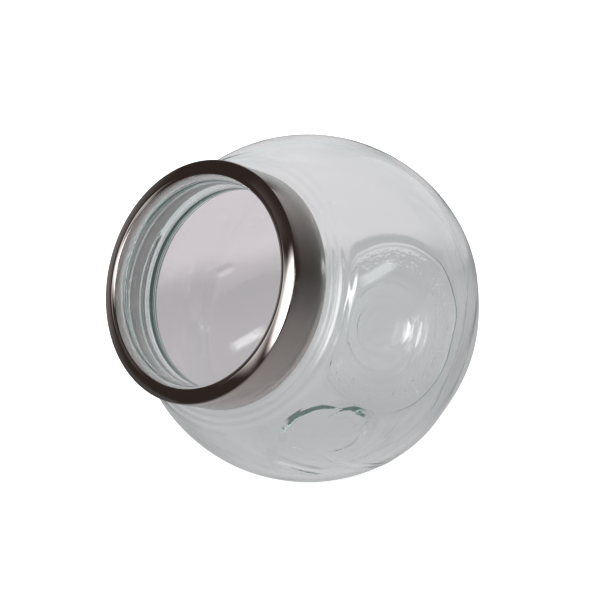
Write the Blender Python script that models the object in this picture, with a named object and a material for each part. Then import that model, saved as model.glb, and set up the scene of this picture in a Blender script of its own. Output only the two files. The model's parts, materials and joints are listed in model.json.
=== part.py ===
"""Globe jar with a slanted screw mouth and a see-through screw lid.

World frame: metres, +Z up. The jar lies on the round flat on its side, and the origin is the centre
of that flat. The mouth points up along +X. Every part is modelled about its own local +Z, which is
the mouth axis, with local zero at the globe's centre, and hangs from the empty that leans that axis.
"""
import math

import bmesh
import bpy
from mathutils import Vector

# Driving dimensions: metres, and degrees where the name says so.
GLOBE_RADIUS = 0.0800
GLASS_WALL = 0.0035
MOUTH_ELEVATION_DEG = 37.6
SIDE_FLAT_DEPTH = 0.0753
NECK_RADIUS = 0.0482
NECK_WALL = 0.0038
LIP_HEIGHT = 0.0746
LID_RADIUS = 0.0529
LID_SKIRT_BOTTOM = 0.0574
LID_CREASE_HEIGHT = 0.0797
LID_LIP_HEIGHT = 0.0815
WINDOW_OPENING_RADIUS = 0.0462
THREAD_PITCH = 0.0070

# Fits and details worked out from them.
TOUCHING_GAP = 0.0003
SEGMENTS = 64
SHARP_ANGLE_DEG = 35.0
BASE_DEPTH = 0.0670
BASE_THICKNESS = 0.0050
PUSH_UP_RADIUS = 0.0270
PUSH_UP_HEIGHT = 0.0050
PUSH_UP_SQUARENESS = 2.0
HEEL_FILLET = 0.0080
SHOULDER_LATITUDE_DEG = 37.0
SHOULDER_SHELF_HEIGHT = 0.0556
SHOULDER_HANDLE = 0.0060
NECK_ROOT_FILLET = 0.0024
NECK_INNER_FILLET = 0.0030
LIP_ROUND = 0.0012
FLAT_BLEND = 0.0010
PANEL_DEPTH = 0.0033
PANEL_SPREAD_DEG = 17.5
PANEL_ANGLE_FROM_BASE_DEG = 57.0
SHEET = 0.0008
LIP_TURN_DOWN = 0.0025
HEM_RADIUS = 0.0007
RIM_CROWN = 0.00025
LINER_WALL = 0.0012
WINDOW_THICKNESS = 0.0024
GASKET_THICKNESS = 0.0009
GASKET_WIDTH = 0.0042
THREAD_OVERLAP = 0.0017
THREAD_ROOT_SINK = 0.0006
THREAD_STEPS_PER_TURN = 56
THREAD_TAPER_DEG = 30.0
THREAD_ZERO_HEIGHT = 0.0557
THREAD_LEAST_CREST = 0.15
JAR_THREAD_START_DEG = 250.0
JAR_THREAD_TURNS = 1.35
JAR_RIDGE_HALF_WIDTHS = (0.0015, 0.0006)
LINER_THREAD_START_DEG = 325.0
LINER_THREAD_TURNS = 1.15
LINER_THREAD_SHIFT = -0.0021
LINER_RIDGE_HALF_WIDTHS = (0.0013, 0.0005)
RIM_FACE_TURN_DEG = 72.0

LINER_OUTER_RADIUS = LID_RADIUS - SHEET - TOUCHING_GAP
LINER_INNER_RADIUS = LINER_OUTER_RADIUS - LINER_WALL
WINDOW_TOP = LID_LIP_HEIGHT - LIP_TURN_DOWN - TOUCHING_GAP
WINDOW_RADIUS = LINER_INNER_RADIUS - TOUCHING_GAP
GASKET_TOP = WINDOW_TOP - WINDOW_THICKNESS - TOUCHING_GAP


def clear_scene():
    for item in list(bpy.data.objects):
        bpy.data.objects.remove(item, do_unlink=True)


def surface_material(name, colour, roughness, metallic=0.0, transmission=0.0):
    material = bpy.data.materials.new(name)
    material.use_nodes = True
    shader = material.node_tree.nodes["Principled BSDF"]
    shader.inputs["Base Color"].default_value = (*colour, 1.0)
    shader.inputs["Roughness"].default_value = roughness
    shader.inputs["Metallic"].default_value = metallic
    shader.inputs["Transmission Weight"].default_value = transmission
    return material


def object_from(name, mesh_builder, parent):
    """Turn a bmesh into a named object hanging from parent, smooth except at real edges."""
    bmesh.ops.recalc_face_normals(mesh_builder, faces=mesh_builder.faces)
    mesh = bpy.data.meshes.new(name)
    mesh_builder.to_mesh(mesh)
    mesh_builder.free()
    mesh.shade_smooth()
    mesh.set_sharp_from_angle(angle=math.radians(SHARP_ANGLE_DEG))
    item = bpy.data.objects.new(name, mesh)
    bpy.context.scene.collection.objects.link(item)
    item.parent = parent
    return item


# Outlines: lists of (radius, height) points, all about the mouth axis.

def arc(centre, radius, start_deg, end_deg, steps):
    """Points of a circular arc, both ends included."""
    points = []
    for step in range(steps + 1):
        angle = math.radians(start_deg + (end_deg - start_deg) * step / steps)
        points.append((centre[0] + radius * math.cos(angle), centre[1] + radius * math.sin(angle)))
    return points


def curve(start, start_handle, end_handle, end, steps):
    """Points of a cubic Bezier, both ends left out."""
    points = []
    for step in range(1, steps):
        t = step / steps
        weights = ((1 - t) ** 3, 3 * t * (1 - t) ** 2, 3 * t * t * (1 - t), t ** 3)
        corners = (start, start_handle, end_handle, end)
        points.append(tuple(sum(w * c[k] for w, c in zip(weights, corners)) for k in (0, 1)))
    return points


def push_up_dome(edge_radius, rim_height, rise, steps):
    """The pushed-up centre of the base, from the axis out to its rim, steepest near the rim."""
    points = []
    for step in range(steps + 1):
        part_way = step / steps
        swell = 0.5 * (1.0 + math.cos(math.pi * part_way ** PUSH_UP_SQUARENESS))
        points.append((edge_radius * part_way, rim_height + rise * swell))
    return points


def globe_side(radius, floor_height, shelf_radius, shelf_height, globe_steps):
    """One wall face from the base's flat ring, round the heel and globe, to the neck's shelf."""
    heel_centre_height = floor_height + HEEL_FILLET
    heel_centre_radius = math.sqrt((radius - HEEL_FILLET) ** 2 - heel_centre_height ** 2)
    heel_latitude = math.degrees(math.atan2(heel_centre_height, heel_centre_radius))
    latitude = math.radians(SHOULDER_LATITUDE_DEG)
    top = Vector((radius * math.cos(latitude), radius * math.sin(latitude)))
    along_globe = Vector((-math.sin(latitude), math.cos(latitude)))
    shelf = Vector((shelf_radius, shelf_height))
    heel = arc((heel_centre_radius, heel_centre_height), HEEL_FILLET, -90.0, heel_latitude, 4)
    globe = arc((0.0, 0.0), radius, heel_latitude, SHOULDER_LATITUDE_DEG, globe_steps)
    shoulder = curve(top, top + along_globe * SHOULDER_HANDLE,
                     shelf + Vector((SHOULDER_HANDLE, 0.0)), shelf, 6)
    return heel + globe[1:] + shoulder


def jar_outline():
    """Outer face from the base's centre up to the lip, then the inner face back down."""
    inner_neck = NECK_RADIUS - NECK_WALL
    root_centre = (NECK_RADIUS + NECK_ROOT_FILLET, SHOULDER_SHELF_HEIGHT + NECK_ROOT_FILLET)
    inner_root = (inner_neck + NECK_INNER_FILLET, SHOULDER_SHELF_HEIGHT - GLASS_WALL + NECK_INNER_FILLET)
    lip_centre_height = LIP_HEIGHT - LIP_ROUND
    outer = push_up_dome(PUSH_UP_RADIUS, -BASE_DEPTH, PUSH_UP_HEIGHT, 6)
    outer += globe_side(GLOBE_RADIUS, -BASE_DEPTH, root_centre[0], SHOULDER_SHELF_HEIGHT, 15)
    outer += arc(root_centre, NECK_ROOT_FILLET, 270.0, 180.0, 3)
    outer += arc((NECK_RADIUS - LIP_ROUND, lip_centre_height), LIP_ROUND, 0.0, 90.0, 3)
    inner = push_up_dome(PUSH_UP_RADIUS, BASE_THICKNESS - BASE_DEPTH, PUSH_UP_HEIGHT, 5)
    inner += globe_side(GLOBE_RADIUS - GLASS_WALL, BASE_THICKNESS - BASE_DEPTH,
                        inner_root[0], SHOULDER_SHELF_HEIGHT - GLASS_WALL, 13)
    inner += arc(inner_root, NECK_INNER_FILLET, 270.0, 180.0, 3)
    inner += arc((inner_neck + LIP_ROUND, lip_centre_height), LIP_ROUND, 180.0, 90.0, 3)
    return outer + inner[::-1]


def ring_outline():
    """Rolled sheet: plain skirt, crease, slightly crowned rim face, turned-down lip and hem."""
    lip_outer = WINDOW_OPENING_RADIUS + SHEET
    lip_bottom = LID_LIP_HEIGHT - LIP_TURN_DOWN
    inner_skirt = LID_RADIUS - SHEET
    crease_round = SHEET
    hem_centre = (LID_RADIUS - HEM_RADIUS, LID_SKIRT_BOTTOM + HEM_RADIUS)
    rim_under_lip = LID_LIP_HEIGHT - SHEET - RIM_CROWN / 2
    rim_under_crease = LID_CREASE_HEIGHT - SHEET
    outline = arc(hem_centre, HEM_RADIUS, 180.0, 360.0, 6)
    outline += arc((LID_RADIUS - crease_round, LID_CREASE_HEIGHT - crease_round), crease_round,
                   0.0, RIM_FACE_TURN_DEG, 3)
    outline += [((LID_RADIUS + lip_outer) / 2, (LID_CREASE_HEIGHT + LID_LIP_HEIGHT) / 2 + RIM_CROWN)]
    outline += arc((lip_outer, LID_LIP_HEIGHT - SHEET), SHEET, RIM_FACE_TURN_DEG, 180.0, 4)
    outline += [(WINDOW_OPENING_RADIUS, lip_bottom)]
    outline += [(lip_outer, lip_bottom)]
    outline += [(lip_outer, rim_under_lip)]
    outline += [(inner_skirt, rim_under_crease)]
    outline += [(inner_skirt, LID_SKIRT_BOTTOM + 2 * HEM_RADIUS)]
    return outline


def rectangle_outline(inner_radius, outer_radius, bottom, top, corner):
    """A washer's section with small rounds on its outer corners."""
    outline = [(inner_radius, top), (inner_radius, bottom)]
    outline += arc((outer_radius - corner, bottom + corner), corner, -90.0, 0.0, 2)
    outline += arc((outer_radius - corner, top - corner), corner, 0.0, 90.0, 2)
    return outline


# Solids.

def spun(outline, closed):
    """Spin an outline about the mouth axis; an open one starts and ends on the axis."""
    builder = bmesh.new()
    verts = [builder.verts.new((radius, 0.0, height)) for radius, height in outline]
    edges = [builder.edges.new(pair) for pair in zip(verts, verts[1:])]
    if closed:
        edges.append(builder.edges.new((verts[-1], verts[0])))
    bmesh.ops.spin(builder, geom=verts + edges, cent=(0, 0, 0), axis=(0, 0, 1),
                   angle=math.tau, steps=SEGMENTS, use_merge=True)
    bmesh.ops.remove_doubles(builder, verts=builder.verts, dist=1e-6)
    return builder


def press_side_flat(builder):
    """Press the resting flat into both faces of the wall, with a soft edge and an even wall."""
    tilt = math.radians(MOUTH_ELEVATION_DEG)
    normal = Vector((math.cos(tilt), 0.0, -math.sin(tilt)))
    mid_wall = GLOBE_RADIUS - GLASS_WALL / 2
    for vert in builder.verts:
        limit = SIDE_FLAT_DEPTH if vert.co.length > mid_wall else SIDE_FLAT_DEPTH - GLASS_WALL
        beyond = vert.co.dot(normal) - limit
        if beyond >= FLAT_BLEND:
            vert.co -= normal * beyond
        elif beyond > -FLAT_BLEND:
            vert.co -= normal * (beyond + FLAT_BLEND) ** 2 / (4 * FLAT_BLEND)


def press_side_panel(builder):
    """Flatten one flank of the globe a little, fading out before the base."""
    lean = math.radians(PANEL_ANGLE_FROM_BASE_DEG)
    normal = Vector((0.0, math.sin(lean), -math.cos(lean)))
    fade_height = BASE_DEPTH - BASE_THICKNESS - HEEL_FILLET
    for vert in builder.verts:
        if vert.co.z <= -fade_height or vert.co.z > SHOULDER_SHELF_HEIGHT / 2:
            continue
        angle = math.degrees(vert.co.angle(normal))
        swell = math.exp(-0.5 * (angle / PANEL_SPREAD_DEG) ** 2)
        fade = min(1.0, (vert.co.z + fade_height) / (HEEL_FILLET + GLASS_WALL))
        vert.co -= normal * (PANEL_DEPTH * swell * fade)


def thread_ridge(name, root_radius, crest_radius, half_widths, start_deg, turns, shift, parent):
    """A right-hand helical ridge with tapered ends, sunk into the wall it stands on."""
    builder = bmesh.new()
    root_half, crest_half = half_widths
    steps = round(THREAD_STEPS_PER_TURN * turns)
    length_deg = 360.0 * turns
    sections = []
    for step in range(steps + 1):
        travelled = length_deg * step / steps
        taper = min(1.0, travelled / THREAD_TAPER_DEG, (length_deg - travelled) / THREAD_TAPER_DEG)
        grown = math.sin(taper * math.pi / 2)
        angle = math.radians(start_deg + travelled)
        height = THREAD_ZERO_HEIGHT + shift + THREAD_PITCH * angle / math.tau
        crest = root_radius + (crest_radius - root_radius) * max(grown, THREAD_LEAST_CREST)
        corners = ((root_radius, -root_half), (crest, -crest_half),
                   (crest, crest_half), (root_radius, root_half))
        across, along = math.cos(angle), math.sin(angle)
        sections.append([builder.verts.new((radius * across, radius * along, height + offset))
                         for radius, offset in corners])
    for near, far in zip(sections, sections[1:]):
        for corner in range(4):
            following = (corner + 1) % 4
            builder.faces.new((near[corner], near[following], far[following], far[corner]))
    builder.faces.new(sections[0])
    builder.faces.new(sections[-1])
    ridge = object_from(name, builder, parent)
    ridge.hide_render = True
    ridge.display_type = "WIRE"
    return ridge


def join_ridge(item, ridge):
    union = item.modifiers.new("thread", "BOOLEAN")
    union.operation = "UNION"
    union.solver = "EXACT"
    union.object = ridge


def make_jar(parent):
    builder = spun(jar_outline(), closed=False)
    press_side_panel(builder)
    press_side_flat(builder)
    jar = object_from("jar_body", builder, parent)
    jar.data.materials.append(surface_material("clear_glass", (0.86, 0.90, 0.89), 0.02, transmission=1.0))
    ridge = thread_ridge("jar_thread_guide", NECK_RADIUS - THREAD_ROOT_SINK, NECK_RADIUS + THREAD_OVERLAP,
                         JAR_RIDGE_HALF_WIDTHS, JAR_THREAD_START_DEG, JAR_THREAD_TURNS, 0.0, parent)
    join_ridge(jar, ridge)
    return jar


def make_ring(parent):
    ring = object_from("lid_ring", spun(ring_outline(), closed=True), parent)
    ring.data.materials.append(surface_material("black_nickel", (0.20, 0.19, 0.19), 0.12, metallic=1.0))
    return ring


def make_liner(parent):
    outline = rectangle_outline(LINER_INNER_RADIUS, LINER_OUTER_RADIUS,
                                LID_SKIRT_BOTTOM + 2 * HEM_RADIUS + TOUCHING_GAP, WINDOW_TOP - TOUCHING_GAP,
                                LINER_WALL / 3)
    liner = object_from("lid_liner", spun(outline, closed=True), parent)
    liner.data.materials.append(surface_material("pale_liner", (0.78, 0.80, 0.80), 0.25))
    ridge = thread_ridge("liner_thread_guide", LINER_INNER_RADIUS + THREAD_ROOT_SINK,
                         LINER_INNER_RADIUS - THREAD_OVERLAP, LINER_RIDGE_HALF_WIDTHS,
                         LINER_THREAD_START_DEG, LINER_THREAD_TURNS, LINER_THREAD_SHIFT, parent)
    join_ridge(liner, ridge)
    return liner


def make_window(parent):
    edge = WINDOW_THICKNESS / 4
    bottom = WINDOW_TOP - WINDOW_THICKNESS
    outline = [(0.0, bottom)]
    outline += arc((WINDOW_RADIUS - edge, bottom + edge), edge, -90.0, 0.0, 2)
    outline += arc((WINDOW_RADIUS - edge, WINDOW_TOP - edge), edge, 0.0, 90.0, 2)
    outline += [(0.0, WINDOW_TOP)]
    window = object_from("lid_window", spun(outline, closed=False), parent)
    window.data.materials.append(surface_material("window_glass", (0.90, 0.91, 0.92), 0.02, transmission=1.0))
    return window


def make_gasket(parent):
    outer = NECK_RADIUS + THREAD_OVERLAP / 2
    outline = rectangle_outline(outer - GASKET_WIDTH, outer, GASKET_TOP - GASKET_THICKNESS, GASKET_TOP,
                                GASKET_THICKNESS / 4)
    gasket = object_from("lid_gasket", spun(outline, closed=True), parent)
    gasket.data.materials.append(surface_material("seal_silicone", (0.80, 0.80, 0.79), 0.45))
    return gasket


def mouth_axis():
    """The empty at the globe's centre whose local +Z runs out of the mouth."""
    axis = bpy.data.objects.new("mouth_axis", None)
    bpy.context.scene.collection.objects.link(axis)
    axis.location = (0.0, 0.0, SIDE_FLAT_DEPTH)
    axis.rotation_euler = (0.0, math.radians(90.0 - MOUTH_ELEVATION_DEG), 0.0)
    return axis


clear_scene()
axis = mouth_axis()
make_jar(axis)
make_ring(axis)
make_liner(axis)
make_window(axis)
make_gasket(axis)
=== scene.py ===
"""Looks for the globe jar: finer glass, lid ring, liner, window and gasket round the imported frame.

Every piece is modelled about the mouth axis (local +Z out of the mouth, local zero at the globe's
centre) and then placed on the frame. Metres throughout; names that end in _DEG are degrees.
"""
import json
import math

import bmesh
import bpy
import numpy as np
from mathutils import Matrix, Quaternion, Vector


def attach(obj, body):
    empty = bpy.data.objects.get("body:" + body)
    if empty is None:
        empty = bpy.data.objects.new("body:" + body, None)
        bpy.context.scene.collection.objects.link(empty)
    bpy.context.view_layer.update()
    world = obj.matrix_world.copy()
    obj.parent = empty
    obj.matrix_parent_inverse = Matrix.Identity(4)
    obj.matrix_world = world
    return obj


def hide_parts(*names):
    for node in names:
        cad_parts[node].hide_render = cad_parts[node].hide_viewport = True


# Driving dimensions, the same as the CAD's.
GLOBE_RADIUS = 0.0800
GLASS_WALL = 0.0035
SIDE_FLAT_DEPTH = 0.0753
NECK_RADIUS = 0.0482
NECK_WALL = 0.0038
LIP_HEIGHT = 0.0746
LID_RADIUS = 0.0529
LID_SKIRT_BOTTOM = 0.0574
LID_CREASE_HEIGHT = 0.0797
LID_LIP_HEIGHT = 0.0815
WINDOW_OPENING_RADIUS = 0.0462
THREAD_PITCH = 0.0070
BASE_DEPTH = 0.0670
BASE_THICKNESS = 0.0050
PUSH_UP_RADIUS = 0.0270
PUSH_UP_HEIGHT = 0.0050
PUSH_UP_SQUARENESS = 2.0
HEEL_FILLET = 0.0080
SHOULDER_LATITUDE_DEG = 37.0
SHOULDER_SHELF_HEIGHT = 0.0556
SHOULDER_HANDLE = 0.0060
NECK_ROOT_FILLET = 0.0024
NECK_INNER_FILLET = 0.0030
LIP_ROUND = 0.0012
FLAT_BLEND = 0.0010
PANEL_DEPTH = 0.0033
PANEL_SPREAD_DEG = 17.5
PANEL_ANGLE_FROM_BASE_DEG = 57.0
LIP_TURN_DOWN = 0.0025
HEM_RADIUS = 0.0007
LINER_WALL = 0.0012
WINDOW_THICKNESS = 0.0024
GASKET_THICKNESS = 0.0009
GASKET_WIDTH = 0.0042
TOUCHING_GAP = 0.0003
CAD_SHEET = 0.0008
THREAD_OVERLAP = 0.0017
THREAD_ZERO_HEIGHT = 0.0557
THREAD_TAPER_DEG = 30.0
JAR_THREAD_START_DEG = 250.0
JAR_THREAD_TURNS = 1.35
LINER_THREAD_START_DEG = 325.0
LINER_THREAD_TURNS = 1.15
LINER_THREAD_SHIFT = -0.0021

# Finer shapes than the CAD's.
SHEET = 0.0005
BEVEL_WIDTH = 0.0016
BEVEL_DEG = 24.0
CREST_DROP = 0.00035
CREST_ROUND = 0.0003
CREASE_ROUND = 0.0008
LIP_ROLL = 0.0005
FACE_CROWN = 0.00005
JAR_RIDGE_HALF_WIDTH = 0.0019
LINER_RIDGE_HALF_WIDTH = 0.0016
LINER_OUTER_ROUND = 0.0004
LINER_INNER_ROUND = 0.0003
GASKET_FULLNESS = 0.95
INNER_FLAT_BLEND = 0.0045

# Marks of the mould and of the blowing, too fine for the CAD.
# Radius and height of each ring in the domed centre of the base.
BASE_RINGS = ((0.0080, 0.00028), (0.0130, 0.00034), (0.0205, 0.00030))
BASE_RING_HALF_WIDTH = 0.0014
# The grip marks lie between two radii of each resting face, on what is within the skin of its plane.
STIPPLE_SEED = 11
STIPPLE_DEPTH = 0.00065
STIPPLE_SKIN = 0.0005
BASE_STIPPLE = (0.0290, 0.0405)
BASE_STIPPLE_FADE = 0.0020
SIDE_STIPPLE = (0.0170, 0.0215)
SIDE_STIPPLE_FADE = 0.0015
SIDE_PUSH_UP_RADIUS = 0.0255
SIDE_PUSH_UP_HEIGHT = 0.0013
SIDE_PUSH_UP_SQUARENESS = 6.0
SIDE_NOTCH_AZIMUTH_DEG = -157.0
SIDE_NOTCH_HALF_WIDTH_DEG = 14.0
SIDE_NOTCH_DEPTH = 0.16
# Where each groove lies, as a part of the push-up's radius, and its depth.
SIDE_GROOVES = ((1.07, 0.00036), (0.72, 0.00030))
SIDE_GROOVE_HALF_WIDTH = 0.045
# The beads share out the shoulder between two radii.
SHOULDER_BEADS = (0.0512, 0.0612)
BEAD_COUNT = 3
BEAD_HEIGHT = 0.00020
HEEL_BEAD_RADIUS = 0.0432
HEEL_BEAD_HALF_WIDTH = 0.0010
HEEL_BEAD_HEIGHT = 0.00042
# Azimuth and latitude of each end, about the mouth axis from the globe's centre, in degrees.
SEAMS = (((42.0, 42.0), (42.0, -45.0)),
         ((-138.0, 42.0), (-138.0, -45.0)),
         ((-14.0, -50.0), (-62.0, -60.0)))
SEAM_HEIGHT = 0.00025
SEAM_HALF_WIDTH = 0.0008
# Both ends of each mark, its height and its half width.
CHILL_MARKS = (((-89.2, -14.6), (-94.7, -20.4), 0.00060, 0.0020),
               ((-90.2, -10.5), (-106.9, -7.5), 0.00018, 0.0008),
               ((-111.4, -8.2), (-113.2, -2.6), 0.00040, 0.0018),
               ((41.9, 46.3), (48.2, 45.2), 0.00020, 0.0007),
               ((25.1, 23.5), (32.7, 5.3), 0.00045, 0.0034))
# The middle of each ring mark and its radius.
RING_MARKS = (((28.6, 31.5), 0.0035),
              ((2.0, -46.0), 0.0060),
              ((2.0, -46.0), 0.0100))
RING_MARK_HEIGHT = 0.00030
RING_MARK_HALF_WIDTH = 0.0013
# Azimuth, latitude and length of each slow wave of the inner face.
WALL_WAVES = ((20, 10, 0.021), (95, -35, 0.027), (160, 50, 0.017), (250, 5, 0.033))
WALL_WAVE_HEIGHT = 0.00001
WALL_WAVE_FADE = 0.01

# The ring's gloss: crisp on the face, softer below the crease.
FACE_ROUGHNESS = 0.05
SKIRT_ROUGHNESS = 0.24
SOFTENING_DEPTH = 0.0060

# Meshes and fine grain.
SEGMENTS = 384
SHARP_ANGLE_DEG = 40.0
MERGE_DISTANCE = 1e-7
TINY = 1e-9
BUMP_DETAIL = 2.0

# Floor. Behind the glass its brightness goes by the place along a span, metres behind the globe, with
# a painted shadow where it lies under the globe and painted caustics.
FLOOR_SIZE = (12.0, 12.0)
FLOOR_GAP = 0.0004
FLOOR_SPAN = (-0.10, 0.40)
FLOOR_SHADOW_LEVELS = ((0.0, 0.82), (0.20, 0.40), (0.38, 0.53), (0.52, 0.475), (0.62, 0.71), (1.0, 0.78))
FLOOR_TINT = (1.067, 0.957, 1.0)
# Painted caustics: the place along the span drifts by a cloudy pattern, which mottles the floor seen
# through the glass.
FLOOR_CAUSTIC_DRIFT = 0.012
FLOOR_CAUSTIC_SCALE = 38.0
FLOOR_CAUSTIC_DETAIL = 3.0

# The sweep that mirrors see: a level run and a bend upward. Its levels go by the distance from the
# frame's origin, and it is lit up to one distance from its middle line and dim from another.
SWEEP_COLOUR = (0.63, 0.61, 0.62)
SWEEP_LEVELS = ((0.06, 0.90), (0.14, 0.62), (0.27, 0.42), (0.75, 1.0))
SWEEP_HALF_WIDTH = 0.60
SWEEP_LIT_HALF_WIDTH = 0.14
SWEEP_DIM_HALF_WIDTH = 0.46
SWEEP_DIM_LEVEL = 0.3
SWEEP_NEAR_END = -1.5
SWEEP_BEND_START = 0.9
SWEEP_BEND_RADIUS = 0.5
SWEEP_TOP = 1.4

# The room that mirrors and glass see: kind of ray, (position, colour) of its dim front and of its
# bright back, and how far the direction of the back leans upward.
WHITE_ROOM = 0.85
ROOMS = (("Is Glossy Ray", (0.28, (0.060, 0.045, 0.038)), (1.00, (0.62, 0.60, 0.61)), -0.65),
         ("Is Transmission Ray", (0.10, (0.34, 0.38, 0.375)), (0.75, (0.80, 0.77, 0.79)), 0.5))

# Lights and cards: azimuth, elevation and distance from the globe's centre, width and height, and
# radiance. A card has its lean in degrees too and the kinds of ray that see it.
BOXES = (("overhead", (150.0, 80.0, 1.6), (1.2, 1.2), 1.5),
         ("key", (-1.0, 40.0, 1.1), (0.27, 0.76), 7.0))
CARDS = (("key_card", (9.0, 38.0, 1.1), (0.34, 0.86), 5.5, 0.0, ("glossy",)),
         ("key_through_glass", (9.0, 38.0, 1.1), (0.32, 0.86), 10.0, 0.0, ("transmission",)),
         ("strip_key", (70.0, 35.0, 1.1), (0.12, 0.70), 14.0, -58.0, ("glossy", "transmission")),
         ("far_strip", (107.0, 33.0, 1.1), (0.75, 0.17), 5.0, -13.0, ("transmission",)),
         ("key_spill", (-13.0, 31.0, 1.15), (0.56, 0.92), 1.5, 0.0, ("glossy", "transmission")),
         ("high_spill", (-35.0, 53.0, 1.2), (0.70, 0.50), 0.08, 0.0, ("glossy", "transmission")))
# The part of a card that glows fully; the rest fades toward its edges.
CARD_CORE = 0.35

# Camera, from the globe's centre.
CAMERA_DISTANCE = 10 * GLOBE_RADIUS
CAMERA_AZIMUTH_DEG = 46.0
CAMERA_ELEVATION_DEG = 31.4
CAMERA_ROLL_DEG = -8.7
CAMERA_LENS = 103.9
CAMERA_SENSOR_WIDTH = 36.0
CAMERA_SHIFT = (-0.0132, 0.0138)


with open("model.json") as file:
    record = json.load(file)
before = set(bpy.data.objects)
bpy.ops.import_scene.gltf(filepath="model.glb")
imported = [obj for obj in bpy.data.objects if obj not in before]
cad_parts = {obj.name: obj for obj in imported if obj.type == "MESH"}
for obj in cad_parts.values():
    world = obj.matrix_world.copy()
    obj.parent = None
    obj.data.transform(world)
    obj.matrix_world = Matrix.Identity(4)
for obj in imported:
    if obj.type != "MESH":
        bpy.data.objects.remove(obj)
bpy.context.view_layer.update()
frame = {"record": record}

joints = {joint["name"]: joint for joint in frame["record"]["behaviour"]["joints"]}
MOUTH_AXIS = Vector(joints["lid_turn"]["axis"]).normalized()
GLOBE_CENTRE = Vector((0.0, 0.0, SIDE_FLAT_DEPTH))
MOUTH_TURN = Vector((0.0, 0.0, 1.0)).rotation_difference(MOUTH_AXIS)
SIDE_FLAT_NORMAL = MOUTH_TURN.inverted() @ Vector((0.0, 0.0, -1.0))


# Outlines: (radius, height) points about the mouth axis.

def arc(centre, radius, start_deg, end_deg, steps):
    """Points of an arc, both ends included."""
    angles = np.radians(np.linspace(start_deg, end_deg, steps + 1))
    return [(centre[0] + radius * math.cos(a), centre[1] + radius * math.sin(a)) for a in angles]


def line(start, end, steps):
    """Points of a straight run, the start left out."""
    start, way = np.array(start), np.array(end) - np.array(start)
    return [tuple(start + way * k / steps) for k in range(1, steps + 1)]


def curve(start, start_handle, end_handle, end, steps):
    """Points of a cubic Bezier, both ends left out."""
    points = []
    for t in np.linspace(0.0, 1.0, steps + 1)[1:-1]:
        weights = ((1 - t) ** 3, 3 * t * (1 - t) ** 2, 3 * t * t * (1 - t), t ** 3)
        corners = (start, start_handle, end_handle, end)
        points.append(tuple(sum(w * c[k] for w, c in zip(weights, corners)) for k in (0, 1)))
    return points


def push_up_dome(rim_height, rings, steps):
    """The pushed-up centre of the base, from the axis to its rim, with the mould's ring marks."""
    points = []
    for part_way in np.linspace(0.0, 1.0, steps + 1):
        radius = PUSH_UP_RADIUS * part_way
        swell = 0.5 * (1.0 + math.cos(math.pi * part_way ** PUSH_UP_SQUARENESS))
        height = rim_height + PUSH_UP_HEIGHT * swell
        for ring_radius, ring_height in rings:
            across = (radius - ring_radius) / BASE_RING_HALF_WIDTH
            height += ring_height * math.exp(-across ** 2)
        points.append((radius, height))
    return points


def globe_side(radius, floor_height, shelf_radius, shelf_height, steps):
    """One wall face: the base's flat ring, heel, globe and shoulder, up to the neck's shelf."""
    heel_centre_height = floor_height + HEEL_FILLET
    heel_centre_radius = math.sqrt((radius - HEEL_FILLET) ** 2 - heel_centre_height ** 2)
    heel_latitude = math.degrees(math.atan2(heel_centre_height, heel_centre_radius))
    latitude = math.radians(SHOULDER_LATITUDE_DEG)
    top = Vector((radius * math.cos(latitude), radius * math.sin(latitude)))
    along_globe = Vector((-math.sin(latitude), math.cos(latitude)))
    shelf = Vector((shelf_radius, shelf_height))
    base_ring = line((PUSH_UP_RADIUS, floor_height), (heel_centre_radius, floor_height), steps // 2)
    heel = arc((heel_centre_radius, heel_centre_height), HEEL_FILLET, -90.0, heel_latitude, 14)
    globe = arc((0.0, 0.0), radius, heel_latitude, SHOULDER_LATITUDE_DEG, steps)
    shelf_handle = shelf + Vector((SHOULDER_HANDLE, 0.0))
    shoulder = curve(top, top + along_globe * SHOULDER_HANDLE, shelf_handle, shelf, 40)
    return base_ring + heel[1:] + globe[1:] + shoulder


def jar_outlines():
    """The outer and the inner face, each from the base's middle to the top of the lip."""
    inner_neck = NECK_RADIUS - NECK_WALL
    root_centre = (NECK_RADIUS + NECK_ROOT_FILLET, SHOULDER_SHELF_HEIGHT + NECK_ROOT_FILLET)
    inner_shelf_height = SHOULDER_SHELF_HEIGHT - GLASS_WALL
    inner_root = (inner_neck + NECK_INNER_FILLET, inner_shelf_height + NECK_INNER_FILLET)
    lip_centre_height = LIP_HEIGHT - LIP_ROUND
    inner_floor = BASE_THICKNESS - BASE_DEPTH
    outer = push_up_dome(-BASE_DEPTH, BASE_RINGS, 60)
    outer += globe_side(GLOBE_RADIUS, -BASE_DEPTH, root_centre[0], SHOULDER_SHELF_HEIGHT, 66)
    outer += arc(root_centre, NECK_ROOT_FILLET, 270.0, 180.0, 6)
    outer += line((NECK_RADIUS, root_centre[1]), (NECK_RADIUS, lip_centre_height), 64)[:-1]
    outer += arc((NECK_RADIUS - LIP_ROUND, lip_centre_height), LIP_ROUND, 0.0, 90.0, 6)
    inner = push_up_dome(inner_floor, (), 24)
    inner += globe_side(GLOBE_RADIUS - GLASS_WALL, inner_floor, inner_root[0], inner_shelf_height, 54)
    inner += arc(inner_root, NECK_INNER_FILLET, 270.0, 180.0, 14)
    inner += line((inner_neck, inner_root[1]), (inner_neck, lip_centre_height), 12)[:-1]
    inner += arc((inner_neck + LIP_ROUND, lip_centre_height), LIP_ROUND, 180.0, 90.0, 6)
    return np.array(outer), np.array(inner)


# Meshes.

def spun_points(outline):
    """Rows of points, one row for each outline point, once round the mouth axis."""
    turn = np.linspace(0.0, math.tau, SEGMENTS, endpoint=False)
    radius = outline[:, 0][:, None]
    rows = np.empty((len(outline), SEGMENTS, 3))
    rows[:, :, 0] = radius * np.cos(turn)
    rows[:, :, 1] = radius * np.sin(turn)
    rows[:, :, 2] = outline[:, 1][:, None]
    return rows


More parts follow.
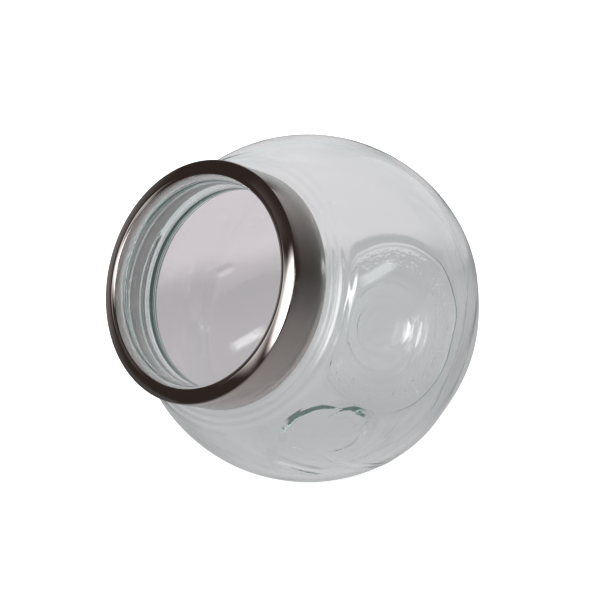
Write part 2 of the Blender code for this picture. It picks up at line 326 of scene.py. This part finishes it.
def mesh_piece(name, rows, closed):
    """A mesh from rows of points: closed rows join end to start, open ones end on the axis."""
    count = len(rows)
    points = [tuple(p) for p in rows.reshape(-1, 3)]
    faces = []
    last = count if closed else count - 1
    for row in range(last):
        here, there = row * SEGMENTS, ((row + 1) % count) * SEGMENTS
        for seg in range(SEGMENTS):
            beside = (seg + 1) % SEGMENTS
            faces.append((here + seg, here + beside, there + beside, there + seg))
    mesh = bpy.data.meshes.new(name)
    mesh.from_pydata(points, [], faces)
    tidy_mesh(mesh)
    mesh.transform(Matrix.Translation(GLOBE_CENTRE) @ MOUTH_TURN.to_matrix().to_4x4())
    piece = bpy.data.objects.new(name, mesh)
    bpy.context.scene.collection.objects.link(piece)
    return piece


def tidy_mesh(mesh):
    """Merge the points on the axis, point every face outward and shade smooth."""
    builder = bmesh.new()
    builder.from_mesh(mesh)
    bmesh.ops.remove_doubles(builder, verts=builder.verts, dist=MERGE_DISTANCE)
    bmesh.ops.recalc_face_normals(builder, faces=builder.faces)
    builder.to_mesh(mesh)
    builder.free()
    mesh.shade_smooth()
    mesh.set_sharp_from_angle(angle=math.radians(SHARP_ANGLE_DEG))


def thread_lift(rows, start_deg, turns, shift, half_width):
    """How far each point stands on a helical ridge, 0 to 1, with tapered ends."""
    height = rows[:, :, 2]
    turn = np.degrees(np.arctan2(rows[:, :, 1], rows[:, :, 0])) % 360.0
    lift = np.zeros(height.shape)
    for lap in range(math.ceil(start_deg / 360.0 + turns)):
        travelled = turn + 360.0 * lap - start_deg
        centre = THREAD_ZERO_HEIGHT + shift + THREAD_PITCH * (turn + 360.0 * lap) / 360.0
        across = np.clip(1.0 - np.abs(height - centre) / half_width, 0.0, 1.0)
        from_end = np.minimum(travelled, 360.0 * turns - travelled)
        ends = np.clip(from_end / THREAD_TAPER_DEG, 0.0, 1.0)
        lift = np.maximum(lift, np.sin(across * math.pi / 2) ** 2 * np.sin(ends * math.pi / 2))
    return lift


def push_radially(rows, amount):
    """Move each point away from the mouth axis by its own amount."""
    reach = np.hypot(rows[:, :, 0], rows[:, :, 1])
    scale = 1.0 + amount / np.maximum(reach, TINY)
    rows[:, :, 0] *= scale
    rows[:, :, 1] *= scale


def raise_beads(outline):
    """Low beads of the mould on the outer face: round the shoulder beside the lid and at the heel."""
    radius, height = outline[:, 0], outline[:, 1]
    across = (radius - SHOULDER_BEADS[0]) / (SHOULDER_BEADS[1] - SHOULDER_BEADS[0])
    on_shoulder = (across > 0.0) & (across < 1.0) & (height > 0.0)
    lift = BEAD_HEIGHT * np.sin(across * math.pi * BEAD_COUNT) ** 2 * on_shoulder
    on_base = height < HEEL_FILLET - BASE_DEPTH
    off_heel_bead = (radius - HEEL_BEAD_RADIUS) / HEEL_BEAD_HALF_WIDTH
    lift -= HEEL_BEAD_HEIGHT * np.exp(-off_heel_bead ** 2) * on_base
    outline[:, 1] += lift


def press_side_panel(rows):
    """Press the flank in beside the base, fading toward the resting ring and the shoulder."""
    lean = math.radians(PANEL_ANGLE_FROM_BASE_DEG)
    normal = np.array((0.0, math.sin(lean), -math.cos(lean)))
    fade_height = BASE_DEPTH - BASE_THICKNESS - HEEL_FILLET
    length = np.linalg.norm(rows, axis=2)
    angle = np.degrees(np.arccos(np.clip(rows @ normal / length, -1.0, 1.0)))
    swell = np.exp(-0.5 * (angle / PANEL_SPREAD_DEG) ** 2)
    fade = np.clip((rows[:, :, 2] + fade_height) / (HEEL_FILLET + GLASS_WALL), 0.0, 1.0)
    fade = np.where(rows[:, :, 2] > SHOULDER_SHELF_HEIGHT / 2, 0.0, fade)
    rows -= (PANEL_DEPTH * swell * fade)[:, :, None] * normal


def press_side_flat(rows, limit, blend, grooves=()):
    """Press the resting flat in, with a shallow push-up in it and any grooves round that."""
    normal = np.array(SIDE_FLAT_NORMAL)
    beyond = rows @ normal - limit
    soft = (beyond + blend) ** 2 / (4 * blend)
    sink = np.where(beyond >= blend, beyond, np.where(beyond > -blend, soft, 0.0))
    in_plane = rows - (rows @ normal)[:, :, None] * normal
    from_middle = np.linalg.norm(in_plane, axis=2)
    toward_notch = MOUTH_TURN.inverted() @ Vector(direction(SIDE_NOTCH_AZIMUTH_DEG, 0.0))
    facing_notch = in_plane @ np.array(toward_notch) / np.maximum(from_middle, TINY)
    off_notch = np.degrees(np.arccos(np.clip(facing_notch, -1.0, 1.0)))
    notch = SIDE_NOTCH_DEPTH * np.exp(-(off_notch / SIDE_NOTCH_HALF_WIDTH_DEG) ** 2)
    across = from_middle / (SIDE_PUSH_UP_RADIUS * (1.0 - notch))
    swell = 0.5 * (1.0 + np.cos(math.pi * np.clip(across, 0.0, 1.0) ** SIDE_PUSH_UP_SQUARENESS))
    sink += SIDE_PUSH_UP_HEIGHT * swell * (beyond > 0.0)
    for place, depth in grooves:
        sink += depth * np.exp(-((across - place) / SIDE_GROOVE_HALF_WIDTH) ** 2) * (beyond > 0.0)
    rows -= sink[:, :, None] * normal


def between(value, low, high, edge):
    """1 between low and high, fading to 0 over an edge inside them."""
    return np.clip(np.minimum(value - low, high - value) / edge, 0.0, 1.0)


def stipple(rows):
    """The grip marks that the mould leaves on both resting rings: fine dents in the outer face."""
    chance = np.random.default_rng(STIPPLE_SEED)
    grain = chance.random((rows.shape[0], SEGMENTS))
    grain = 0.25 * (np.roll(grain, 1, axis=0) + np.roll(grain, 1, axis=1) + 2 * grain)
    from_axis = np.hypot(rows[:, :, 0], rows[:, :, 1])
    on_base = between(from_axis, *BASE_STIPPLE, BASE_STIPPLE_FADE)
    on_base *= rows[:, :, 2] < -BASE_DEPTH + STIPPLE_SKIN
    rows[:, :, 2] += STIPPLE_DEPTH * grain * on_base
    normal = np.array(SIDE_FLAT_NORMAL)
    depth = rows @ normal
    from_middle = np.linalg.norm(rows - depth[:, :, None] * normal, axis=2)
    on_side = between(from_middle, *SIDE_STIPPLE, SIDE_STIPPLE_FADE)
    on_side *= depth > SIDE_FLAT_DEPTH - SIDE_PUSH_UP_HEIGHT - STIPPLE_SKIN
    rows -= (STIPPLE_DEPTH * grain * on_side)[:, :, None] * normal


def direction(azimuth_deg, latitude_deg):
    """A unit vector."""
    azimuth, latitude = math.radians(azimuth_deg), math.radians(latitude_deg)
    level = math.cos(latitude)
    return np.array((math.cos(azimuth) * level, math.sin(azimuth) * level, math.sin(latitude)))


def rounded(across):
    """The section of a rounded ridge: 1 in the middle, 0 from 1 outward."""
    return np.cos(np.clip(across, 0.0, 1.0) * math.pi / 2) ** 2


def raise_ridge(rows, start, end, height, half_width):
    """A low rounded ridge on the great circle from start to end, with faded ends."""
    way = rows / np.linalg.norm(rows, axis=2)[:, :, None]
    plane = np.cross(start, end)
    plane /= np.linalg.norm(plane)
    across = np.abs(rows @ plane) / half_width
    middle = (start + end) / np.linalg.norm(start + end)
    reach = math.acos(float(start @ middle))
    along = np.arccos(np.clip(way @ middle, -1.0, 1.0))
    fade = np.clip((reach - along) / (reach / 3), 0.0, 1.0)
    rows += (height * rounded(across) * fade)[:, :, None] * way


def raise_ring_mark(rows, middle, radius):
    """A small round mark: a low ridge round a direction."""
    reach = np.linalg.norm(rows, axis=2)[:, :, None]
    way = rows / reach
    off_middle = np.linalg.norm(rows - reach * middle, axis=2)
    across = np.abs(off_middle - radius) / RING_MARK_HALF_WIDTH
    rows += (RING_MARK_HEIGHT * rounded(across))[:, :, None] * way


def wave_wall(rows, low, high):
    """The slow unevenness of a blown inner face."""
    wave = np.zeros(rows.shape[:2])
    for azimuth, latitude, length in WALL_WAVES:
        wave += np.sin(rows @ direction(azimuth, latitude) * math.tau / length)
    way = rows / np.linalg.norm(rows, axis=2)[:, :, None]
    fade = between(rows[:, :, 2], low, high, WALL_WAVE_FADE)
    rows += (WALL_WAVE_HEIGHT * wave * fade)[:, :, None] * way


# Materials.

def material(name):
    """A new material with its nodes, its links and its shader."""
    made = bpy.data.materials.new(name)
    made.use_nodes = True
    return made, made.node_tree.nodes, made.node_tree.links, made.node_tree.nodes["Principled BSDF"]


def object_point(nodes):
    """The socket with the place of the shaded point in its object's own space."""
    return nodes.new("ShaderNodeTexCoord").outputs["Object"]


def distance_along(nodes, links, point, way):
    """The socket that says how far a point lies along a fixed direction."""
    product = nodes.new("ShaderNodeVectorMath")
    product.operation = "DOT_PRODUCT"
    product.inputs[1].default_value = way
    links.new(point, product.inputs[0])
    return product.outputs["Value"]


def calculate(nodes, links, operation, *values):
    """The result of a sum, product or the like of one or two sockets."""
    node = nodes.new("ShaderNodeMath")
    node.operation = operation
    for value, socket in zip(values, node.inputs):
        links.new(value, socket)
    return node.outputs["Value"]


def remap(nodes, links, value, source, target, interpolation="SMOOTHSTEP"):
    """A value that runs over the source range, moved to the target range."""
    node = nodes.new("ShaderNodeMapRange")
    node.interpolation_type = interpolation
    for name, limit in zip(("From Min", "From Max", "To Min", "To Max"), (*source, *target)):
        node.inputs[name].default_value = limit
    links.new(value, node.inputs["Value"])
    return node.outputs["Result"]


def noise(nodes, links, point, scale, detail):
    """The socket of a cloudy pattern."""
    node = nodes.new("ShaderNodeTexNoise")
    node.inputs["Scale"].default_value = scale
    node.inputs["Detail"].default_value = detail
    links.new(point, node.inputs["Vector"])
    return node.outputs["Fac"]


def colour_ramp(nodes, links, value, stops, interpolation="EASE"):
    """The colour of a value, from (position, colour) pairs."""
    node = nodes.new("ShaderNodeValToRGB")
    node.color_ramp.interpolation = interpolation
    for _ in stops[2:]:
        node.color_ramp.elements.new(0.5)
    for element, (position, colour) in zip(node.color_ramp.elements, stops):
        element.position = position
        element.color = (*colour, 1.0)
    links.new(value, node.inputs["Fac"])
    return node.outputs["Color"]


def tinted(levels, tint):
    """(position, colour) pairs from (position, brightness) pairs of one tint."""
    return [(position, [level * part for part in tint]) for position, level in levels]


def noise_bump(nodes, links, shader, scale, strength, distance):
    """Fine unevenness of a surface, in object space."""
    bump = nodes.new("ShaderNodeBump")
    bump.inputs["Strength"].default_value = strength
    bump.inputs["Distance"].default_value = distance
    links.new(noise(nodes, links, object_point(nodes), scale, BUMP_DETAIL), bump.inputs["Height"])
    links.new(bump.outputs["Normal"], shader.inputs["Normal"])


def glass_material():
    """Colourless to the eye, pale green where light runs far through it, with a faint painted glow."""
    made, nodes, links, shader = material("clear_glass_look")
    shader.inputs["Base Color"].default_value = (1.0, 1.0, 1.0, 1.0)
    shader.inputs["Transmission Weight"].default_value = 1.0
    shader.inputs["Roughness"].default_value = 0.0
    shader.inputs["IOR"].default_value = 1.52
    # A painted glow: it stands in for the light that thick glass passes on inside itself, past the
    # last bounce that is traced.
    shader.inputs["Emission Color"].default_value = (0.50, 0.95, 0.88, 1.0)
    shader.inputs["Emission Strength"].default_value = 0.0115
    noise_bump(nodes, links, shader, 90.0, 0.06, 0.0004)
    volume = nodes.new("ShaderNodeVolumeAbsorption")
    volume.inputs["Color"].default_value = (0.35, 0.75, 0.65, 1.0)
    volume.inputs["Density"].default_value = 19.0
    links.new(volume.outputs["Volume"], nodes["Material Output"].inputs["Volume"])
    return made


def window_material():
    """Clear, very faintly grey."""
    made, nodes, links, shader = material("window_look")
    shader.inputs["Base Color"].default_value = (0.925, 0.915, 0.925, 1.0)
    shader.inputs["Transmission Weight"].default_value = 1.0
    shader.inputs["Roughness"].default_value = 0.0
    shader.inputs["IOR"].default_value = 1.5
    noise_bump(nodes, links, shader, 40.0, 0.05, 0.0004)
    return made


def ring_material():
    """Dark bright-plated metal: crisp on the face, softer down the skirt."""
    made, nodes, links, shader = material("black_nickel_look")
    shader.inputs["Base Color"].default_value = (0.42, 0.385, 0.370, 1.0)
    shader.inputs["Metallic"].default_value = 1.0
    noise_bump(nodes, links, shader, 700.0, 0.02, 0.0001)
    height = distance_along(nodes, links, object_point(nodes), MOUTH_AXIS)
    crease = GLOBE_CENTRE.dot(MOUTH_AXIS) + LID_CREASE_HEIGHT
    depth_range = (crease, crease - SOFTENING_DEPTH)
    softening = remap(nodes, links, height, depth_range, (FACE_ROUGHNESS, SKIRT_ROUGHNESS))
    links.new(softening, shader.inputs["Roughness"])
    return made


def liner_material():
    """Pale plastic, with a faint painted glow that stands in for the light the glass round it passes
    on.
    """
    made, nodes, links, shader = material("pale_liner_look")
    shader.inputs["Base Color"].default_value = (0.74, 0.63, 0.625, 1.0)
    shader.inputs["Roughness"].default_value = 0.3
    # Painted glow: a stand-in for the light that the glass round the liner passes on.
    shader.inputs["Emission Color"].default_value = (1.0, 0.88, 0.88, 1.0)
    shader.inputs["Emission Strength"].default_value = 0.045
    noise_bump(nodes, links, shader, 500.0, 0.1, 0.0001)
    return made


def gasket_material():
    """Milky silicone, with a faint painted glow that stands in for the light the glass beside it
    passes on.
    """
    made, nodes, links, shader = material("silicone_look")
    shader.inputs["Base Color"].default_value = (0.86, 0.86, 0.85, 1.0)
    shader.inputs["Roughness"].default_value = 0.25
    shader.inputs["Transmission Weight"].default_value = 0.35
    shader.inputs["IOR"].default_value = 1.41
    # Painted glow: a stand-in for the light that the glass beside the gasket passes on.
    shader.inputs["Emission Color"].default_value = (0.98, 1.0, 0.99, 1.0)
    shader.inputs["Emission Strength"].default_value = 0.09
    noise_bump(nodes, links, shader, 600.0, 0.1, 0.0001)
    return made


def finish_piece(piece, look, body, node):
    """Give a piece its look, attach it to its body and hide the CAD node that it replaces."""
    piece.data.materials.append(look)
    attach(piece, body)
    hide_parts(node)


# Pieces.

def make_jar():
    """Globe, shoulder and threaded neck: the outer face, over the lip, and the inner face."""
    outer, inner = jar_outlines()
    raise_beads(outer)
    outer_rows = spun_points(outer)
    inner_rows = spun_points(inner)
    above_shoulder = outer_rows[:, :, 2] > LID_SKIRT_BOTTOM
    ridge = thread_lift(outer_rows, JAR_THREAD_START_DEG, JAR_THREAD_TURNS, 0.0, JAR_RIDGE_HALF_WIDTH)
    push_radially(outer_rows, THREAD_OVERLAP * ridge * above_shoulder)
    for start, end in SEAMS:
        raise_ridge(outer_rows, direction(*start), direction(*end), SEAM_HEIGHT, SEAM_HALF_WIDTH)
    for start, end, height, half_width in CHILL_MARKS:
        raise_ridge(outer_rows, direction(*start), direction(*end), height, half_width)
    wave_wall(inner_rows, BASE_THICKNESS - BASE_DEPTH, SHOULDER_SHELF_HEIGHT)
    press_side_panel(outer_rows)
    press_side_panel(inner_rows)
    press_side_flat(outer_rows, SIDE_FLAT_DEPTH, FLAT_BLEND, SIDE_GROOVES)
    for middle, radius in RING_MARKS:
        raise_ring_mark(outer_rows, direction(*middle), radius)
    press_side_flat(inner_rows, SIDE_FLAT_DEPTH - GLASS_WALL, INNER_FLAT_BLEND)
    stipple(outer_rows)
    rows = np.concatenate((outer_rows, inner_rows[::-1]))
    jar = mesh_piece("jar_glass", rows, closed=False)
    finish_piece(jar, glass_material(), "jar", "jar_body")


def ring_outline():
    """Rolled sheet: skirt, crease, outer face, a narrow inner bevel, turned-down lip and hem."""
    crest_radius = WINDOW_OPENING_RADIUS + BEVEL_WIDTH
    crest_height = LID_LIP_HEIGHT - CREST_DROP
    hem_centre = (LID_RADIUS - HEM_RADIUS, LID_SKIRT_BOTTOM + HEM_RADIUS)
    face_deg = math.degrees(math.atan2(LID_RADIUS - crest_radius, crest_height - LID_CREASE_HEIGHT))
    outer = arc(hem_centre, HEM_RADIUS, 180.0, 360.0, 12)
    outer += line(outer[-1], (LID_RADIUS, LID_CREASE_HEIGHT - CREASE_ROUND), 6)[:-1]
    crease_centre = (LID_RADIUS - CREASE_ROUND, LID_CREASE_HEIGHT - CREASE_ROUND)
    outer += arc(crease_centre, CREASE_ROUND, 0.0, face_deg, 8)
    start, end = np.array(outer[-1]), np.array((crest_radius + CREST_ROUND, crest_height))
    for t in np.linspace(0.0, 1.0, 12)[1:]:
        outer.append(tuple(start + (end - start) * t + np.array((0.0, FACE_CROWN * 4 * t * (1 - t)))))
    bevel = math.radians(BEVEL_DEG)
    fall = math.tan(bevel)
    top = (crest_radius - CREST_ROUND, crest_height - CREST_ROUND * fall)
    roll_start = WINDOW_OPENING_RADIUS + LIP_ROLL * (1.0 - math.sin(bevel))
    low = (roll_start, top[1] - (top[0] - roll_start) * fall)
    roll_centre = (WINDOW_OPENING_RADIUS + LIP_ROLL, low[1] - LIP_ROLL * math.cos(bevel))
    outer += [top] + line(top, low, 5)[:-1]
    outer += arc(roll_centre, LIP_ROLL, 90.0 + BEVEL_DEG, 180.0, 8)
    lip_bottom = LID_LIP_HEIGHT - LIP_TURN_DOWN
    lip_back = WINDOW_OPENING_RADIUS + SHEET
    skirt_back = LID_RADIUS - SHEET
    under = [(WINDOW_OPENING_RADIUS, lip_bottom),
             (lip_back, lip_bottom),
             (lip_back, low[1] - 2 * SHEET),
             (crest_radius, crest_height - 1.5 * SHEET),
             (skirt_back, LID_CREASE_HEIGHT - 1.5 * SHEET),
             (skirt_back, LID_SKIRT_BOTTOM + 2 * HEM_RADIUS)]
    return np.array(outer + under)


def make_ring():
    """The lid's metal ring."""
    ring = mesh_piece("lid_ring_fine", spun_points(ring_outline()), closed=True)
    finish_piece(ring, ring_material(), "lid_band", "lid_ring")


def make_liner():
    """The sleeve inside the skirt, with its thread's ridge on the inner face."""
    outer = LID_RADIUS - CAD_SHEET - TOUCHING_GAP
    inner = outer - LINER_WALL
    bottom = LID_SKIRT_BOTTOM + 2 * HEM_RADIUS + TOUCHING_GAP
    top = LID_LIP_HEIGHT - LIP_TURN_DOWN - 2 * TOUCHING_GAP
    outer_centre = outer - LINER_OUTER_ROUND
    inner_centre = inner + LINER_INNER_ROUND
    inner_low = bottom + LINER_INNER_ROUND
    inner_high = top - LINER_INNER_ROUND
    outline = arc((outer_centre, bottom + LINER_OUTER_ROUND), LINER_OUTER_ROUND, -90.0, 0.0, 4)
    outline += arc((outer_centre, top - LINER_OUTER_ROUND), LINER_OUTER_ROUND, 0.0, 90.0, 4)
    outline += arc((inner_centre, inner_high), LINER_INNER_ROUND, 90.0, 180.0, 4)
    outline += line((inner, inner_high), (inner, inner_low), 70)[:-1]
    outline += arc((inner_centre, inner_low), LINER_INNER_ROUND, 180.0, 270.0, 4)
    rows = spun_points(np.array(outline))
    facing_in = np.hypot(rows[:, :, 0], rows[:, :, 1]) < inner + TINY
    ridge = thread_lift(rows, LINER_THREAD_START_DEG, LINER_THREAD_TURNS, LINER_THREAD_SHIFT,
                        LINER_RIDGE_HALF_WIDTH)
    push_radially(rows, -THREAD_OVERLAP * ridge * facing_in)
    liner = mesh_piece("lid_liner_fine", rows, closed=True)
    finish_piece(liner, liner_material(), "lid_band", "lid_liner")


def make_window():
    """The clear disc, with rounded edges."""
    radius = LID_RADIUS - CAD_SHEET - LINER_WALL - 2 * TOUCHING_GAP
    top = LID_LIP_HEIGHT - LIP_TURN_DOWN - TOUCHING_GAP
    bottom = top - WINDOW_THICKNESS
    edge = WINDOW_THICKNESS / 5
    outline = [(0.0, bottom)] + line((0.0, bottom), (radius - edge, bottom), 12)[:-1]
    outline += arc((radius - edge, bottom + edge), edge, -90.0, 0.0, 5)
    outline += arc((radius - edge, top - edge), edge, 0.0, 90.0, 5)
    outline += line((radius - edge, top), (0.0, top), 12)
    window = mesh_piece("lid_window_fine", spun_points(np.array(outline)), closed=False)
    finish_piece(window, window_material(), "lid_insert", "lid_window")


def make_gasket():
    """The flat seal ring between the disc and the glass lip."""
    outer = NECK_RADIUS + THREAD_OVERLAP / 2
    inner = outer - GASKET_WIDTH
    top = LID_LIP_HEIGHT - LIP_TURN_DOWN - 2 * TOUCHING_GAP - WINDOW_THICKNESS
    half = GASKET_THICKNESS / 2
    outline = arc((outer - half, top - half), half * GASKET_FULLNESS, -90.0, 90.0, 8)
    outline += arc((inner + half, top - half), half * GASKET_FULLNESS, 90.0, 270.0, 8)
    gasket = mesh_piece("lid_gasket_fine", spun_points(np.array(outline)), closed=True)
    finish_piece(gasket, gasket_material(), "lid_insert", "lid_gasket")


# Stage.

# The level direction away from the camera.
AWAY = Vector(direction(CAMERA_AZIMUTH_DEG + 180.0, 0.0))


def make_camera():
    """The camera, looking at the globe's centre."""
    back = Vector(direction(CAMERA_AZIMUTH_DEG, CAMERA_ELEVATION_DEG))
    data = bpy.data.cameras.new("camera")
    data.lens = CAMERA_LENS
    data.sensor_width = CAMERA_SENSOR_WIDTH
    data.shift_x, data.shift_y = CAMERA_SHIFT
    camera = bpy.data.objects.new("camera", data)
    bpy.context.scene.collection.objects.link(camera)
    camera.location = GLOBE_CENTRE + back * CAMERA_DISTANCE
    camera.rotation_mode = "QUATERNION"
    roll = Quaternion((0.0, 0.0, 1.0), math.radians(CAMERA_ROLL_DEG))
    camera.rotation_quaternion = (-back).to_track_quat("-Z", "Y") @ roll
    bpy.context.scene.camera = camera


def show_only_to(thing, seen_by):
    """Let only the named kinds of ray see a light or a stage piece."""
    for ray in ("camera", "diffuse", "glossy", "transmission"):
        setattr(thing, "visible_" + ray, ray in seen_by)


def stage_piece(name, points, faces, look, seen_by):
    """A floor or card that only the named kinds of ray see; none of them casts a shadow."""
    mesh = bpy.data.meshes.new(name)
    mesh.from_pydata(points, [], faces)
    mesh.materials.append(look)
    mesh.shade_smooth()
    piece = bpy.data.objects.new(name, mesh)
    bpy.context.scene.collection.objects.link(piece)
    show_only_to(piece, seen_by)
    piece.visible_shadow = False
    return piece


def rectangle_piece(name, size, height, look, seen_by):
    """A level rectangle round the origin, at a height."""
    x, y = size[0] / 2, size[1] / 2
    points = [(-x, -y, height), (x, -y, height), (x, y, height), (-x, y, height)]
    return stage_piece(name, points, [(0, 1, 2, 3)], look, seen_by)


def glow(name, colour):
    """A material that only emits light, of strength 1 until something is linked to it."""
    made, nodes, links, shader = material(name)
    nodes.remove(shader)
    emission = nodes.new("ShaderNodeEmission")
    emission.inputs["Color"].default_value = (*colour, 1.0)
    links.new(emission.outputs["Emission"], nodes["Material Output"].inputs["Surface"])
    return made, nodes, links, emission


def around(azimuth_deg, elevation_deg, distance):
    """A place seen from the globe's centre."""
    return GLOBE_CENTRE + Vector(direction(azimuth_deg, elevation_deg)) * distance


def make_white_floor():
    """White paper for the eye and for soft light."""
    paper, *_, shader = material("floor_paper")
    shader.inputs["Base Color"].default_value = (0.93, 0.93, 0.935, 1.0)
    shader.inputs["Roughness"].default_value = 0.9
    shader.inputs["Emission Color"].default_value = (1.0, 1.0, 1.0, 1.0)
    shader.inputs["Emission Strength"].default_value = 0.6
    rectangle_piece("floor", FLOOR_SIZE, -FLOOR_GAP, paper, ("camera", "diffuse"))


def make_floor_through_glass():
    """The grey floor that the glass lets through, graded toward the back, with a painted shadow under
    the globe and painted caustics.
    """
    grey, nodes, links, emission = glow("grey_floor_painted_shadow", (1.0, 1.0, 1.0))
    point = object_point(nodes)
    reach = distance_along(nodes, links, point, AWAY)
    # Painted caustics: a cloudy drift of the place along the floor.
    caustic_cloud = noise(nodes, links, point, FLOOR_CAUSTIC_SCALE, FLOOR_CAUSTIC_DETAIL)
    caustic_drift = remap(nodes, links, caustic_cloud, (0.0, 1.0), (-FLOOR_CAUSTIC_DRIFT, FLOOR_CAUSTIC_DRIFT), "LINEAR")
    place = calculate(nodes, links, "ADD", reach, caustic_drift)
    part_way = remap(nodes, links, place, FLOOR_SPAN, (0.0, 1.0), "LINEAR")
    # Painted shadow: the levels dip darkest where the floor lies under the globe.
    shade = colour_ramp(nodes, links, part_way, tinted(FLOOR_SHADOW_LEVELS, FLOOR_TINT))
    links.new(shade, emission.inputs["Color"])
    rectangle_piece("floor_through_glass", FLOOR_SIZE, -FLOOR_GAP, grey, ("transmission",))


def sweep_look(side):
    """Bright beside the globe and far behind it, dimmer between and toward both long edges."""
    look, nodes, links, emission = glow("strip_sweep", SWEEP_COLOUR)
    point = object_point(nodes)
    length = nodes.new("ShaderNodeVectorMath")
    length.operation = "LENGTH"
    links.new(point, length.inputs[0])
    levels = tinted(SWEEP_LEVELS, (1.0, 1.0, 1.0))
    fade = colour_ramp(nodes, links, length.outputs["Value"], levels, "LINEAR")
    off_line = calculate(nodes, links, "ABSOLUTE", distance_along(nodes, links, point, side))
    across = (SWEEP_DIM_HALF_WIDTH, SWEEP_LIT_HALF_WIDTH)
    edge = remap(nodes, links, off_line, across, (SWEEP_DIM_LEVEL, 1.0))
    links.new(calculate(nodes, links, "MULTIPLY", fade, edge), emission.inputs["Strength"])
    return look


def make_sweep_in_mirrors():
    """The same sweep as mirrors see it: a strip along the camera's line that curves up at the back."""
    side = Vector((-AWAY.y, AWAY.x, 0.0))
    run = [(SWEEP_NEAR_END, 0.0), (SWEEP_BEND_START, 0.0)]
    run += arc((SWEEP_BEND_START, SWEEP_BEND_RADIUS), SWEEP_BEND_RADIUS, -80.0, 0.0, 8)
    run.append((SWEEP_BEND_START + SWEEP_BEND_RADIUS, SWEEP_TOP))
    points = []
    for along, up in run:
        middle = AWAY * along + Vector((0.0, 0.0, up - FLOOR_GAP))
        points += [tuple(middle - side * SWEEP_HALF_WIDTH), tuple(middle + side * SWEEP_HALF_WIDTH)]
    faces = [(2 * k, 2 * k + 1, 2 * k + 3, 2 * k + 2) for k in range(len(run) - 1)]
    stage_piece("sweep_in_mirrors", points, faces, sweep_look(side), ("glossy",))


def make_floor():
    """One floor, as the eye, the glass and the mirrors each see it."""
    make_white_floor()
    make_floor_through_glass()
    make_sweep_in_mirrors()


def soft_box(name, place, size, radiance):
    """A light for rough surfaces only; the cards stand for it in mirrors and through glass."""
    data = bpy.data.lights.new(name, "AREA")
    data.shape = "RECTANGLE"
    data.size, data.size_y = size
    data.energy = radiance * size[0] * size[1] * math.pi
    light = bpy.data.objects.new(name, data)
    bpy.context.scene.collection.objects.link(light)
    light.location = place
    light.rotation_mode = "QUATERNION"
    light.rotation_quaternion = (GLOBE_CENTRE - place).to_track_quat("-Z", "Y")
    show_only_to(light, ("diffuse",))


def card_look(name, size, radiance):
    """A glow that fades toward the card's edges and lets what is behind it through."""
    look, nodes, links, emission = glow(name, (1.0, 1.0, 1.0))
    axes = nodes.new("ShaderNodeSeparateXYZ")
    links.new(object_point(nodes), axes.inputs["Vector"])
    fades = []
    for axis, side, level in zip("XY", size, (radiance, 1.0)):
        reach = calculate(nodes, links, "ABSOLUTE", axes.outputs[axis])
        fades.append(remap(nodes, links, reach, (side / 2, side / 2 * CARD_CORE), (0.0, level)))
    links.new(calculate(nodes, links, "MULTIPLY", *fades), emission.inputs["Strength"])
    clear = nodes.new("ShaderNodeBsdfTransparent")
    both = nodes.new("ShaderNodeAddShader")
    links.new(emission.outputs["Emission"], both.inputs[0])
    links.new(clear.outputs["BSDF"], both.inputs[1])
    links.new(both.outputs["Shader"], nodes["Material Output"].inputs["Surface"])
    return look


def soft_card(name, place, size, radiance, lean_deg, seen_by):
    """A glowing card that faces the globe, turned about its own middle by its lean."""
    card = rectangle_piece(name, size, 0.0, card_look(name, size, radiance), seen_by)
    card.location = place
    card.rotation_mode = "QUATERNION"
    lean = Quaternion((0.0, 0.0, 1.0), math.radians(lean_deg))
    card.rotation_quaternion = (GLOBE_CENTRE - place).to_track_quat("-Z", "Y") @ lean


def make_world():
    """White for the eye and for soft light; mirrors and glass see a room that is bright behind."""
    world = bpy.data.worlds.new("studio")
    world.use_nodes = True
    nodes, links = world.node_tree.nodes, world.node_tree.links
    seen = nodes["Background"]
    seen.inputs["Color"].default_value = (1.0, 1.0, 1.0, 1.0)
    seen.inputs["Strength"].default_value = WHITE_ROOM
    where = nodes.new("ShaderNodeTexCoord")
    path = nodes.new("ShaderNodeLightPath")
    for ray, dim, bright, lean in ROOMS:
        reach = distance_along(nodes, links, where.outputs["Generated"], (AWAY.x, AWAY.y, lean))
        room = nodes.new("ShaderNodeBackground")
        links.new(colour_ramp(nodes, links, reach, (dim, bright)), room.inputs["Color"])
        pick = nodes.new("ShaderNodeMixShader")
        links.new(path.outputs[ray], pick.inputs["Fac"])
        links.new(seen.outputs[0], pick.inputs[1])
        links.new(room.outputs["Background"], pick.inputs[2])
        seen = pick
    links.new(seen.outputs[0], nodes["World Output"].inputs["Surface"])
    bpy.context.scene.world = world


def make_light():
    """The room, the lights for rough surfaces and the cards for mirrors and glass."""
    make_world()
    for name, place, size, radiance in BOXES:
        soft_box(name, around(*place), size, radiance)
    for name, place, size, radiance, lean_deg, seen_by in CARDS:
        soft_card(name, around(*place), size, radiance, lean_deg, seen_by)
    bpy.context.scene.view_settings.view_transform = "Standard"


make_camera()
make_jar()
make_ring()
make_liner()
make_window()
make_gasket()
make_floor()
make_light()
